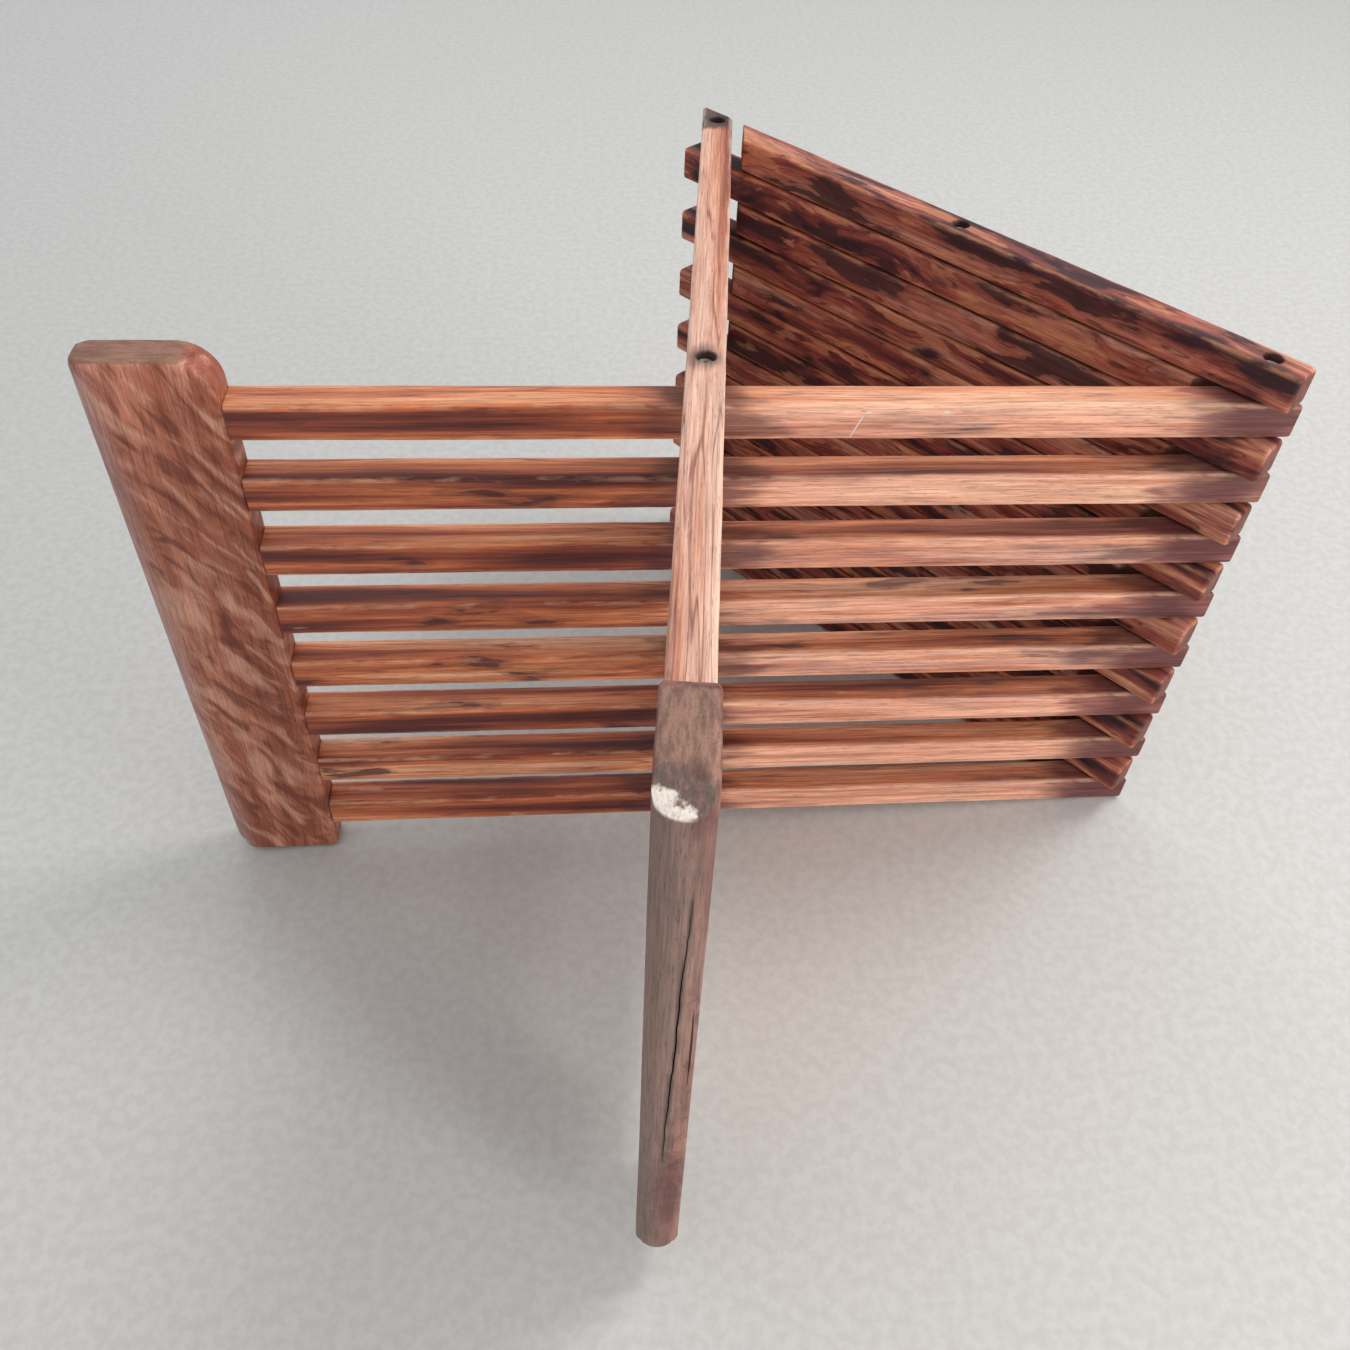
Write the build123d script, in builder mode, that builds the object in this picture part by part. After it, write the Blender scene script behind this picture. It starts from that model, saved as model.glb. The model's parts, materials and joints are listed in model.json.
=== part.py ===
from build123d import *
import math
import os

# Folding slatted magazine rack in millimetres, standing on its side: the hinge rods run along Z.
# Four panels of parallel slats turn on four rods. Sides A and B cross like scissors at the
# crossing rod and each carries a grip board. Bases A and B are hinged on the far ends of the
# sides, share the middle rod, and lie in one plane while the rack is open.

# Slats
LEVEL_HEIGHT = 20.0         # pitch of the stack along the rods
LEVELS = 16                 # numbered from the top
SLAT_THICKNESS = 19.0       # along the rods
SLAT_DEPTH = 18.0           # across a panel
SLAT_ARRIS = 2.5            # rounding of the long edges
SLAT_END_ARRIS = 0.8

# Plan of the linkage
OPEN_ANGLE = 83.8           # between the two sides, degrees
PIVOT_LENGTH = 266.5        # crossing rod to corner rod, along a side
GRIP_LENGTH = 212.5         # crossing rod to the inner edge of a grip board
BASE_OVERHANG = 18.5        # a base slat runs this far past its corner rod
BASE_END_GAP = 6.6          # its other end stops this far from the opposite side

# Grip boards
BOARD_WIDTH = 60.5
BOARD_THICKNESS = 20.0
BOARD_OVERHANG = 22.2       # past the first and the last slat of its own side
BOARD_BULLNOSE = 9.5        # rounding of the outer long edge
BOARD_ARRIS = 3.0
BOARD_HEAD_CORNERS = (5.0, 18.0)    # outer and inner corner radius at the top
BOARD_FOOT_CORNERS = (12.0, 5.0)    # outer and inner corner radius at the foot

# Rods and dowels
ROD_DIAMETER = 9.0
ROD_CLEARANCE = 0.05        # radial running fit
ROD_RECESS = 3.5            # each rod end lies this deep in its bore
ROD_END_CHAMFER = 0.6
DIMPLE_DIAMETER = 3.4       # centre drilling in a rod's end
DIMPLE_DEPTH = 5.0
BORE_MOUTH = 0.5            # countersink at the two ends of a row of bores
DOWEL_DIAMETER = 8.0
DOWEL_LENGTH = 36.0         # half in the slat, half in the board

STACK_HEIGHT = LEVELS * LEVEL_HEIGHT
SLAT_PLAY = (LEVEL_HEIGHT - SLAT_THICKNESS) / 2
HALF_DEPTH = SLAT_DEPTH / 2
HALF_OPEN = math.radians(OPEN_ANGLE / 2)
BASE_SPAN = 2 * PIVOT_LENGTH * math.sin(HALF_OPEN)
BORE_RADIUS = ROD_DIAMETER / 2 + ROD_CLEARANCE
BOARD_HEIGHT = (LEVELS - 1) * LEVEL_HEIGHT - 2 * SLAT_PLAY + 2 * BOARD_OVERHANG
BOARD_REACH = GRIP_LENGTH + BOARD_WIDTH
UP = Vector(0, 0, 1)


def side_end(offset):
    """Distance from crossing rod to slat end, cut flush with the base, at an offset outwards."""
    return PIVOT_LENGTH + (HALF_DEPTH + offset * math.sin(HALF_OPEN)) / math.cos(HALF_OPEN)


def base_end(offset):
    """Distance from corner rod to slat end, cut parallel to the other side, at an offset outwards."""
    gap = HALF_DEPTH + BASE_END_GAP
    return BASE_SPAN - gap / math.cos(HALF_OPEN) + offset * math.tan(HALF_OPEN)


# The origin is the middle of the whole rack's footprint, at the height of its lowest point.
open_sin, open_cos = math.sin(2 * HALF_OPEN), math.cos(2 * HALF_OPEN)
x_low = -BOARD_REACH
x_high = side_end(HALF_DEPTH)
y_low = -(BOARD_REACH - BOARD_BULLNOSE) * open_sin - BOARD_BULLNOSE
y_high = side_end(HALF_DEPTH) * open_sin + HALF_DEPTH * open_cos

crossing = Vector(-(x_low + x_high) / 2, -(y_low + y_high) / 2, BOARD_OVERHANG - SLAT_PLAY)
along_side_a = Vector(1, 0, 0)
along_side_b = Vector(open_cos, open_sin, 0)
corner_a = crossing + along_side_a * PIVOT_LENGTH
corner_b = crossing + along_side_b * PIVOT_LENGTH
middle = (corner_a + corner_b) * 0.5
along_base_a = (corner_b - corner_a).normalized()
along_base_b = -along_base_a

ODD_LEVELS = range(1, LEVELS, 2)
EVEN_LEVELS = range(0, LEVELS, 2)


def level_foot(level):
    """Height of a slat's lower face above the foot of the stack."""
    return STACK_HEIGHT - (level + 1) * LEVEL_HEIGHT + SLAT_PLAY


def save(piece, name):
    """Label a finished piece and write its file."""
    piece.part.label = name
    export_step(piece.part, f"parts/{name}.step")


def make_slat(name, pivot, along, level, outline, bores, dowel_end=None):
    """Build one slat from its outline, with a bore at each distance in bores from the pivot."""
    lower_face = Plane(origin=pivot + UP * level_foot(level), x_dir=along, z_dir=UP)
    with BuildPart(lower_face) as slat:
        with BuildSketch(lower_face):
            with BuildLine():
                Polyline(*outline, close=True)
            make_face()
        extrude(amount=SLAT_THICKNESS)
        lengthways = Axis(pivot, along)
        fillet(slat.edges().filter_by(lengthways), radius=SLAT_ARRIS)
        ends = slat.faces().sort_by(lengthways)
        free_ends = [ends[-1]] if dowel_end else [ends[0], ends[-1]]
        for end in free_ends:
            fillet(end.edges(), radius=SLAT_END_ARRIS)
        with Locations(*[(x, 0, SLAT_THICKNESS) for x in bores]):
            if level == 0:
                CounterSinkHole(BORE_RADIUS, BORE_RADIUS + BORE_MOUTH, counter_sink_angle=90)
            else:
                Hole(BORE_RADIUS)
        if level == LEVELS - 1:
            with Locations(*[Location((x, 0, 0), (180, 0, 0)) for x in bores]):
                CounterSinkHole(BORE_RADIUS, BORE_RADIUS + BORE_MOUTH, counter_sink_angle=90)
        if dowel_end:
            with BuildSketch(dowel_plane(pivot, along, level)):
                Circle(DOWEL_DIAMETER / 2)
            extrude(amount=DOWEL_LENGTH / 2, mode=Mode.SUBTRACT)
    save(slat, name)


def dowel_plane(pivot, along, level):
    """Plane of the joint between a side slat and its board, facing along the slat."""
    joint = pivot - along * GRIP_LENGTH + UP * (level_foot(level) + SLAT_THICKNESS / 2)
    return Plane(origin=joint, x_dir=UP, z_dir=along)


def make_side(name, along, levels, outside):
    """Build a side: its slats, the grip board on their ends and the dowels between them."""
    outline = [
        (-GRIP_LENGTH, -HALF_DEPTH),
        (side_end(-HALF_DEPTH * outside), -HALF_DEPTH),
        (side_end(HALF_DEPTH * outside), HALF_DEPTH),
        (-GRIP_LENGTH, HALF_DEPTH),
    ]
    for number, level in enumerate(levels, start=1):
        bores = [0, PIVOT_LENGTH]
        make_slat(f"side_{name}_slat_{number}", crossing, along, level, outline, bores, dowel_end=True)
    make_board(f"grip_board_{name}", along, levels)
    make_dowels(f"grip_board_{name}_dowels", along, levels)


def make_board(name, along, levels):
    """Build a grip board: its face outline, cut to a section with a bullnose outer edge."""
    foot = crossing + UP * (level_foot(levels[-1]) - BOARD_OVERHANG)
    inner, outer = -GRIP_LENGTH, -BOARD_REACH
    half = BOARD_THICKNESS / 2
    with BuildPart() as board:
        with BuildSketch(Plane(origin=foot, x_dir=along, z_dir=along.cross(UP))):
            with BuildLine():
                FilletPolyline(
                    (outer, 0), (inner, 0), (inner, BOARD_HEIGHT), (outer, BOARD_HEIGHT),
                    radius=[*BOARD_FOOT_CORNERS, *reversed(BOARD_HEAD_CORNERS)], close=True,
                )
            make_face()
        extrude(amount=half, both=True)
        with BuildSketch(Plane(origin=foot, x_dir=along, z_dir=UP)):
            with BuildLine():
                FilletPolyline(
                    (outer, -half), (inner, -half), (inner, half), (outer, half),
                    radius=[BOARD_BULLNOSE, BOARD_ARRIS, BOARD_ARRIS, BOARD_BULLNOSE], close=True,
                )
            make_face()
        extrude(amount=BOARD_HEIGHT, mode=Mode.INTERSECT)
        for level in levels:
            with BuildSketch(dowel_plane(crossing, along, level)):
                Circle(DOWEL_DIAMETER / 2)
            extrude(amount=-DOWEL_LENGTH / 2, mode=Mode.SUBTRACT)
    save(board, name)


def make_dowels(name, along, levels):
    """Build a board's dowels, one for each slat, as one group of solids."""
    with BuildPart() as dowels:
        for level in levels:
            with BuildSketch(dowel_plane(crossing, along, level)):
                Circle(DOWEL_DIAMETER / 2)
            extrude(amount=DOWEL_LENGTH / 2, both=True)
    save(dowels, name)


def make_base(name, pivot, along, levels, outside):
    """Build the slats of a base panel, with bores for the corner rod and the middle rod."""
    outline = [
        (-BASE_OVERHANG, -HALF_DEPTH),
        (base_end(-HALF_DEPTH * outside), -HALF_DEPTH),
        (base_end(HALF_DEPTH * outside), HALF_DEPTH),
        (-BASE_OVERHANG, HALF_DEPTH),
    ]
    for number, level in enumerate(levels, start=1):
        bores = [0, BASE_SPAN / 2]
        make_slat(f"base_{name}_slat_{number}", pivot, along, level, outline, bores)


def make_rod(name, pivot, stretches):
    """Build a hinge rod from its stretches, recessed, chamfered and drilled at the stack's ends."""
    foot = SLAT_PLAY + ROD_RECESS
    head = STACK_HEIGHT - foot
    with BuildPart(Plane(origin=pivot, x_dir=(1, 0, 0), z_dir=UP)) as rod:
        for low, high in stretches:
            start, stop = max(low, foot), min(high, head)
            with Locations((0, 0, start)):
                Cylinder(ROD_DIAMETER / 2, stop - start, align=(Align.CENTER, Align.CENTER, Align.MIN))
        for height, turn in ((foot, 180), (head, 0)):
            level = pivot.Z + height
            for end in rod.faces().filter_by(Axis.Z).filter_by_position(Axis.Z, level - 0.01, level + 0.01):
                chamfer(end.edges(), length=ROD_END_CHAMFER)
                with Locations(Location((0, 0, height), (turn, 0, 0))):
                    Hole(DIMPLE_DIAMETER / 2, depth=DIMPLE_DEPTH)
    save(rod, name)


def stretches_in(levels):
    """List the lower and upper face of each of a panel's slats, above the foot of the stack."""
    return [(level_foot(level), level_foot(level) + SLAT_THICKNESS) for level in levels]


os.makedirs("parts", exist_ok=True)
make_side("a", along_side_a, ODD_LEVELS, outside=-1)
make_side("b", along_side_b, EVEN_LEVELS, outside=1)
make_base("a", corner_a, along_base_a, EVEN_LEVELS, outside=-1)
make_base("b", corner_b, along_base_b, ODD_LEVELS, outside=1)
for rod_name, rod_pivot in (("crossing_rod", crossing), ("corner_rod_a", corner_a), ("corner_rod_b", corner_b)):
    make_rod(rod_name, rod_pivot, [(0, STACK_HEIGHT)])
make_rod("middle_rod_in_base_a", middle, stretches_in(EVEN_LEVELS))
make_rod("middle_rod_in_base_b", middle, stretches_in(ODD_LEVELS))
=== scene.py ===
"""Folding slatted magazine rack, dressed around its CAD frame.

The thirty-two slats and the two grip boards are remade here as old oiled timber, with their
bores, worn arrises, cracks and a chewed corner. The hinge rods and dowels keep their CAD shapes
and get a finish. Lengths are in metres, in the frame of the CAD model, with the rods along Z.
"""

import json
import logging
import math
from dataclasses import dataclass
from enum import Enum
from typing import Any, Callable, Iterable, Optional, Union

import bpy
from mathutils import Matrix, Vector


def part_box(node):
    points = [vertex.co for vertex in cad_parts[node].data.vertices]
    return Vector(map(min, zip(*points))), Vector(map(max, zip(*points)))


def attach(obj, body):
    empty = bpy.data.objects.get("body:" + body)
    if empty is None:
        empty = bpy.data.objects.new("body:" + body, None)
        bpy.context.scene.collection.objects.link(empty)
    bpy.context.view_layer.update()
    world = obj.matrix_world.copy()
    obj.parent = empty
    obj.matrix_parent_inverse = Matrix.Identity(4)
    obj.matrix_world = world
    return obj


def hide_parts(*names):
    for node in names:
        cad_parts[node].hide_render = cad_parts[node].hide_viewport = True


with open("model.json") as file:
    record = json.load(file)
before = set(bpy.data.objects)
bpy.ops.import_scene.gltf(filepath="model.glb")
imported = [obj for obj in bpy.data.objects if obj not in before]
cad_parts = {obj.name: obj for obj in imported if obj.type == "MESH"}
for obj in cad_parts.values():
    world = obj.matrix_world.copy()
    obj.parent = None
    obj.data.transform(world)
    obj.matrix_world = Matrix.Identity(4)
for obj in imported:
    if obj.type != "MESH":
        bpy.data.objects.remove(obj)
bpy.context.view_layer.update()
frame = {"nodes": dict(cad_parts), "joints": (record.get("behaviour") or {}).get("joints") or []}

MM = 0.001
PANEL_SLATS = 8

log = logging.getLogger("magazine_rack")

Colour = tuple[float, float, float, float]
Value = Union[float, int, "Term"]
Place = tuple[Value, Value, Value]
Piece = bpy.types.Object
Material = bpy.types.Material


def paint(red: int, green: int, blue: int) -> Colour:
    """Turn a display colour into the linear colour that a shader takes.

    Args:
        red: Red, 0 to 255.
        green: Green, 0 to 255.
        blue: Blue, 0 to 255.

    Returns:
        The linear colour with full alpha.
    """
    levels = [channel / 255 for channel in (red, green, blue)]
    linear = [level / 12.92 if level <= 0.04045 else ((level + 0.055) / 1.055) ** 2.4 for level in levels]
    return (*linear, 1.0)


def two_sided(operation: str) -> Callable[["Term", Value], "Term"]:
    """Return the method of a term that adds a Math node on the term and another value."""
    return lambda term, other: term.graph.maths(operation, term, other)


class Term:
    """An output socket that can stand in an expression."""

    def __init__(self, graph: "Graph", socket: bpy.types.NodeSocket) -> None:
        """Wrap a socket of a graph."""
        self.graph = graph
        self.socket = socket

    __add__ = __radd__ = two_sided("ADD")
    __sub__ = two_sided("SUBTRACT")
    __mul__ = __rmul__ = two_sided("MULTIPLY")
    __truediv__ = two_sided("DIVIDE")
    at_least = two_sided("MAXIMUM")
    at_most = two_sided("MINIMUM")

    def __rsub__(self, other: Value) -> "Term":
        """Return other - self."""
        return self.graph.maths("SUBTRACT", other, self)

    def __neg__(self) -> "Term":
        """Return -self."""
        return self.graph.maths("MULTIPLY", self, -1.0)

    def __abs__(self) -> "Term":
        """Return the absolute value."""
        return self.graph.maths("ABSOLUTE", self)

    def held(self, limit: Value) -> "Term":
        """Return self kept between -limit and limit."""
        return self.at_most(limit).at_least(-limit)

    def root(self) -> "Term":
        """Return the square root."""
        return self.graph.maths("SQRT", self)

    def rise(self, low: float, high: float) -> "Term":
        """Return a smooth step.

        Args:
            low: Where it is 0.
            high: Where it is 1, which may lie below low.

        Returns:
            The step, from 0 to 1.
        """
        ramp = self.graph.node(
            "ShaderNodeMapRange",
            {"interpolation_type": "SMOOTHSTEP"},
            {0: self, 1: min(low, high), 2: max(low, high)},
        )
        step = Term(self.graph, ramp.outputs[0])
        return step if low < high else 1 - step

    def eased(self, share: float) -> "Term":
        """Return self, from 0 to 1, with only a share of its effect."""
        return self * share + (1 - share)


@dataclass(frozen=True)
class Pattern:
    """A noise pattern, in features per metre along each of three axes."""

    pitch: tuple[float, float, float] = (1.0, 1.0, 1.0)
    detail: float = 2.0         # number of finer layers
    roughness: float = 0.5      # share of the finer layers
    distortion: float = 0.0


class Graph:
    """A node tree whose nodes are added by expressions."""

    def __init__(self, tree: bpy.types.NodeTree) -> None:
        """Write into tree."""
        self.tree = tree

    def node(
        self, kind: str, settings: Optional[dict[str, Any]] = None, inputs: Optional[dict] = None
    ) -> bpy.types.Node:
        """Add a node.

        Args:
            kind: The node's type.
            settings: Its properties, which are set first.
            inputs: Values, terms or lists of terms by socket name or number.

        Returns:
            The new node.
        """
        node = self.tree.nodes.new(kind)
        for name, value in (settings or {}).items():
            if name == "stops":
                self.set_stops(node.color_ramp, value)
            else:
                setattr(node, name, value)
        for key, value in (inputs or {}).items():
            self.feed(node.inputs[key], value)
        return node

    def set_stops(self, ramp: bpy.types.ColorRamp, stops: tuple[tuple[float, Colour], ...]) -> None:
        """Give a ramp its stops.

        Args:
            ramp: The ramp.
            stops: Position and colour of each, in rising order.
        """
        while len(ramp.elements) < len(stops):
            ramp.elements.new(1.0)
        for element, (position, colour) in zip(ramp.elements, stops):
            element.position = position
            element.color = colour

    def feed(self, socket: bpy.types.NodeSocket, value: Any) -> None:
        """Link a socket, or set its own value.

        Args:
            socket: The socket.
            value: A term, a list of terms, or a plain value.
        """
        if isinstance(value, Term):
            self.tree.links.new(value.socket, socket)
        elif isinstance(value, list):
            for term in value:
                self.tree.links.new(term.socket, socket)
        else:
            socket.default_value = value

    def term(
        self, kind: str, settings: Optional[dict[str, Any]] = None, inputs: Optional[dict] = None,
        output: Union[int, str] = 0,
    ) -> Term:
        """Add a node as node() does, and return one of its outputs as a term."""
        return Term(self, self.node(kind, settings, inputs).outputs[output])

    def maths(self, operation: str, *values: Value) -> Term:
        """Add a Math node on plain numbers."""
        return self.term("ShaderNodeMath", {"operation": operation}, dict(enumerate(values)))

    def sine(self, value: Value) -> Term:
        """Return the sine of an angle in radians."""
        return self.maths("SINE", value)

    def vectors(self, operation: str, *values: Any) -> Term:
        """Add a Vector Math node that gives a vector."""
        return self.term("ShaderNodeVectorMath", {"operation": operation}, dict(enumerate(values)))

    def join(self, x: Value, y: Value, z: Value) -> Term:
        """Make a vector of three numbers."""
        return self.term("ShaderNodeCombineXYZ", None, {0: x, 1: y, 2: z})

    def split(self, vector: Term) -> tuple[Term, Term, Term]:
        """Return the three numbers of a vector."""
        node = self.node("ShaderNodeSeparateXYZ", None, {0: vector})
        return tuple(Term(self, output) for output in node.outputs)

    def pattern(
        self, pattern: Pattern, place: Place, seed: Value = 0.0, output: str = "Fac"
    ) -> Term:
        """Read a noise pattern.

        Args:
            pattern: The pattern.
            place: Where it is read.
            seed: How far it is shifted along its first axis.
            output: Fac for a number, Color for three.

        Returns:
            The noise, about 0.5 on average.
        """
        x, y, z = (axis * features for axis, features in zip(place, pattern.pitch))
        inputs = {
            "Vector": self.join(x + seed, y, z), "Scale": 1.0, "Detail": pattern.detail,
            "Roughness": pattern.roughness, "Distortion": pattern.distortion,
        }
        return self.term("ShaderNodeTexNoise", {"noise_dimensions": "3D"}, inputs, output)

    def ramp(self, value: Term, stops: tuple[tuple[float, Colour], ...]) -> Term:
        """Return the colour at a value between coloured stops."""
        return self.term("ShaderNodeValToRGB", {"stops": stops}, {0: value})

    def veins(self, value: Term, lines: float, width: float) -> Term:
        """Return thin lines where value passes evenly spaced levels, as growth rings do."""
        return self.maths("PINGPONG", value * lines, 0.5).rise(width, 0.0)

    def blend(self, factor: Value, first: Any, second: Any, mode: str = "MIX") -> Term:
        """Mix two colours, from first at 0 to second at 1."""
        settings = {"data_type": "RGBA", "blend_type": mode}
        return self.term("ShaderNodeMix", settings, {0: factor, 6: first, 7: second}, 2)


# ---- Shapes ----


class Inlet(Enum):
    """The kinds of input a shape tree takes."""

    NUMBER = "NodeSocketFloat"
    SWITCH = "NodeSocketBool"
    POINT = "NodeSocketVector"
    FINISH = "NodeSocketMaterial"


class ShapeTree(Graph):
    """A Geometry Nodes tree that makes one kind of timber, baked once for each piece."""

    sharp_angle = math.radians(35)
    round_points = 40
    hairline = 1e-7     # keeps a division from ending in nothing

    def __init__(self, name: str, inlets: dict[str, Inlet]) -> None:
        """Make an empty tree with named inputs.

        Args:
            name: The tree's name.
            inlets: The kind of each named input.
        """
        super().__init__(bpy.data.node_groups.new(name, "GeometryNodeTree"))
        interface = self.tree.interface
        self.identifiers: dict[str, str] = {}
        for label, kind in inlets.items():
            socket = interface.new_socket(name=label, in_out="INPUT", socket_type=kind.value)
            self.identifiers[label] = socket.identifier
        interface.new_socket(name="Timber", in_out="OUTPUT", socket_type="NodeSocketGeometry")
        self.entry = self.node("NodeGroupInput")

    def inlet(self, label: str) -> Term:
        """Return a named input."""
        return Term(self, self.entry.outputs[label])

    def position(self) -> Term:
        """Return the position of each point."""
        return self.term("GeometryNodeInputPosition")

    def moved(self, geometry: Term, position: Term) -> Term:
        """Put each point of a geometry at a new position."""
        return self.term("GeometryNodeSetPosition", None, {"Geometry": geometry, "Position": position})

    def placed(self, geometry: Term, translation: Any, rotation: Any = (0.0, 0.0, 0.0)) -> Term:
        """Turn a geometry about the origin and then shift it."""
        inputs = {"Geometry": geometry, "Translation": translation, "Rotation": rotation}
        return self.term("GeometryNodeTransform", None, inputs)

    def block(self, counts: tuple[int, int, int]) -> Term:
        """Make a unit cube divided into a grid.

        Args:
            counts: Number of points along X, Y and Z.

        Returns:
            The cube.
        """
        inputs = {"Size": (1.0, 1.0, 1.0)}
        inputs.update({f"Vertices {axis}": count for axis, count in zip("XYZ", counts)})
        return self.term("GeometryNodeMeshCube", None, inputs)

    def drill(self, radius: Value, depth: Value) -> Term:
        """Return a round cutter centred on the origin, along Z."""
        inputs = {"Vertices": self.round_points, "Radius": radius, "Depth": depth}
        return self.term("GeometryNodeMeshCylinder", None, inputs)

    def cut(self, timber: Term, cutters: list[Term]) -> Term:
        """Take the cutters out of the timber."""
        settings = {"operation": "DIFFERENCE", "solver": "MANIFOLD"}
        return self.term("GeometryNodeMeshBoolean", settings, {0: timber, 1: cutters})

    def noted(self, geometry: Term, place: Term, **values: Value) -> Term:
        """Store on each point what the finishes read.

        Args:
            geometry: The geometry.
            place: The point's place, with X along the grain.
            values: Numbers by name.

        Returns:
            The geometry with its values.
        """
        for name, value in {"place": place, **values}.items():
            settings = {"data_type": "FLOAT_VECTOR" if name == "place" else "FLOAT", "domain": "POINT"}
            inputs = {"Geometry": geometry, "Name": name, "Value": value}
            geometry = self.term("GeometryNodeStoreNamedAttribute", settings, inputs)
        return geometry

    def rounded(
        self, first: Term, second: Term, limits: tuple[Value, Value], radius: Value
    ) -> tuple[Term, Term]:
        """Round the four corners of a rectangle and everything inside them.

        Args:
            first: First coordinate, between -limits[0] and limits[0].
            second: Second coordinate, between -limits[1] and limits[1].
            limits: Half the rectangle's two sides.
            radius: Corner radius, which may vary.

        Returns:
            The two new coordinates.
        """
        core_first = first.held(limits[0] - radius)
        core_second = second.held(limits[1] - radius)
        out_first, out_second = first - core_first, second - core_second
        reach = abs(out_first).at_least(abs(out_second))
        length = (out_first * out_first + out_second * out_second).root()
        pull = reach / length.at_least(self.hairline)
        return core_first + out_first * pull, core_second + out_second * pull

    def close(self, timber: Term) -> None:
        """Shade the timber, give it its finish and end the tree.

        Args:
            timber: The finished shape.
        """
        angle = self.term("GeometryNodeInputMeshEdgeAngle")
        sharp = self.term("FunctionNodeCompare", {"data_type": "FLOAT", "operation": "GREATER_THAN"},
                          {0: angle, 1: self.sharp_angle})
        smooth = self.term("GeometryNodeSetShadeSmooth", {"domain": "FACE"},
                           {"Geometry": timber, "Shade Smooth": True})
        creased = self.term("GeometryNodeSetShadeSmooth", {"domain": "EDGE"},
                            {"Geometry": smooth, "Selection": sharp, "Shade Smooth": False})
        real = self.term("GeometryNodeRealizeInstances", None, {"Geometry": creased})
        dressed = self.term("GeometryNodeSetMaterial", None,
                            {"Geometry": real, "Material": self.inlet("Finish")})
        self.node("NodeGroupOutput", None, {0: dressed})

    def roughened(self, place: Place, pattern: Pattern, seed: Term, wear: Place) -> Term:
        """Wear a surface unevenly.

        Args:
            place: The point.
            pattern: Pattern of the wear.
            seed: Its shift.
            wear: Twice how far it moves the point along each axis, at most.

        Returns:
            The new position.
        """
        rough = self.pattern(pattern, place, seed, "Color")
        offset = self.vectors("MULTIPLY", self.vectors("SUBTRACT", rough, (0.5, 0.5, 0.5)), wear)
        return self.vectors("ADD", self.join(*place), offset)

    def bake(self, name: str, values: dict[str, Any]) -> Piece:
        """Make one piece as a plain mesh.

        Args:
            name: The piece's name.
            values: A value for each named input.

        Returns:
            The piece, at the origin, with no modifier left.
        """
        blank = bpy.data.meshes.new("blank")
        piece = bpy.data.objects.new(name, blank)
        bpy.context.scene.collection.objects.link(piece)
        modifier = piece.modifiers.new("shape", "NODES")
        modifier.node_group = self.tree
        for label, value in values.items():
            modifier[self.identifiers[label]] = value
        evaluated = piece.evaluated_get(bpy.context.evaluated_depsgraph_get())
        piece.data = bpy.data.meshes.new_from_object(evaluated)
        piece.data.name = name
        piece.modifiers.remove(modifier)
        bpy.data.meshes.remove(blank)
        return piece


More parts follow.
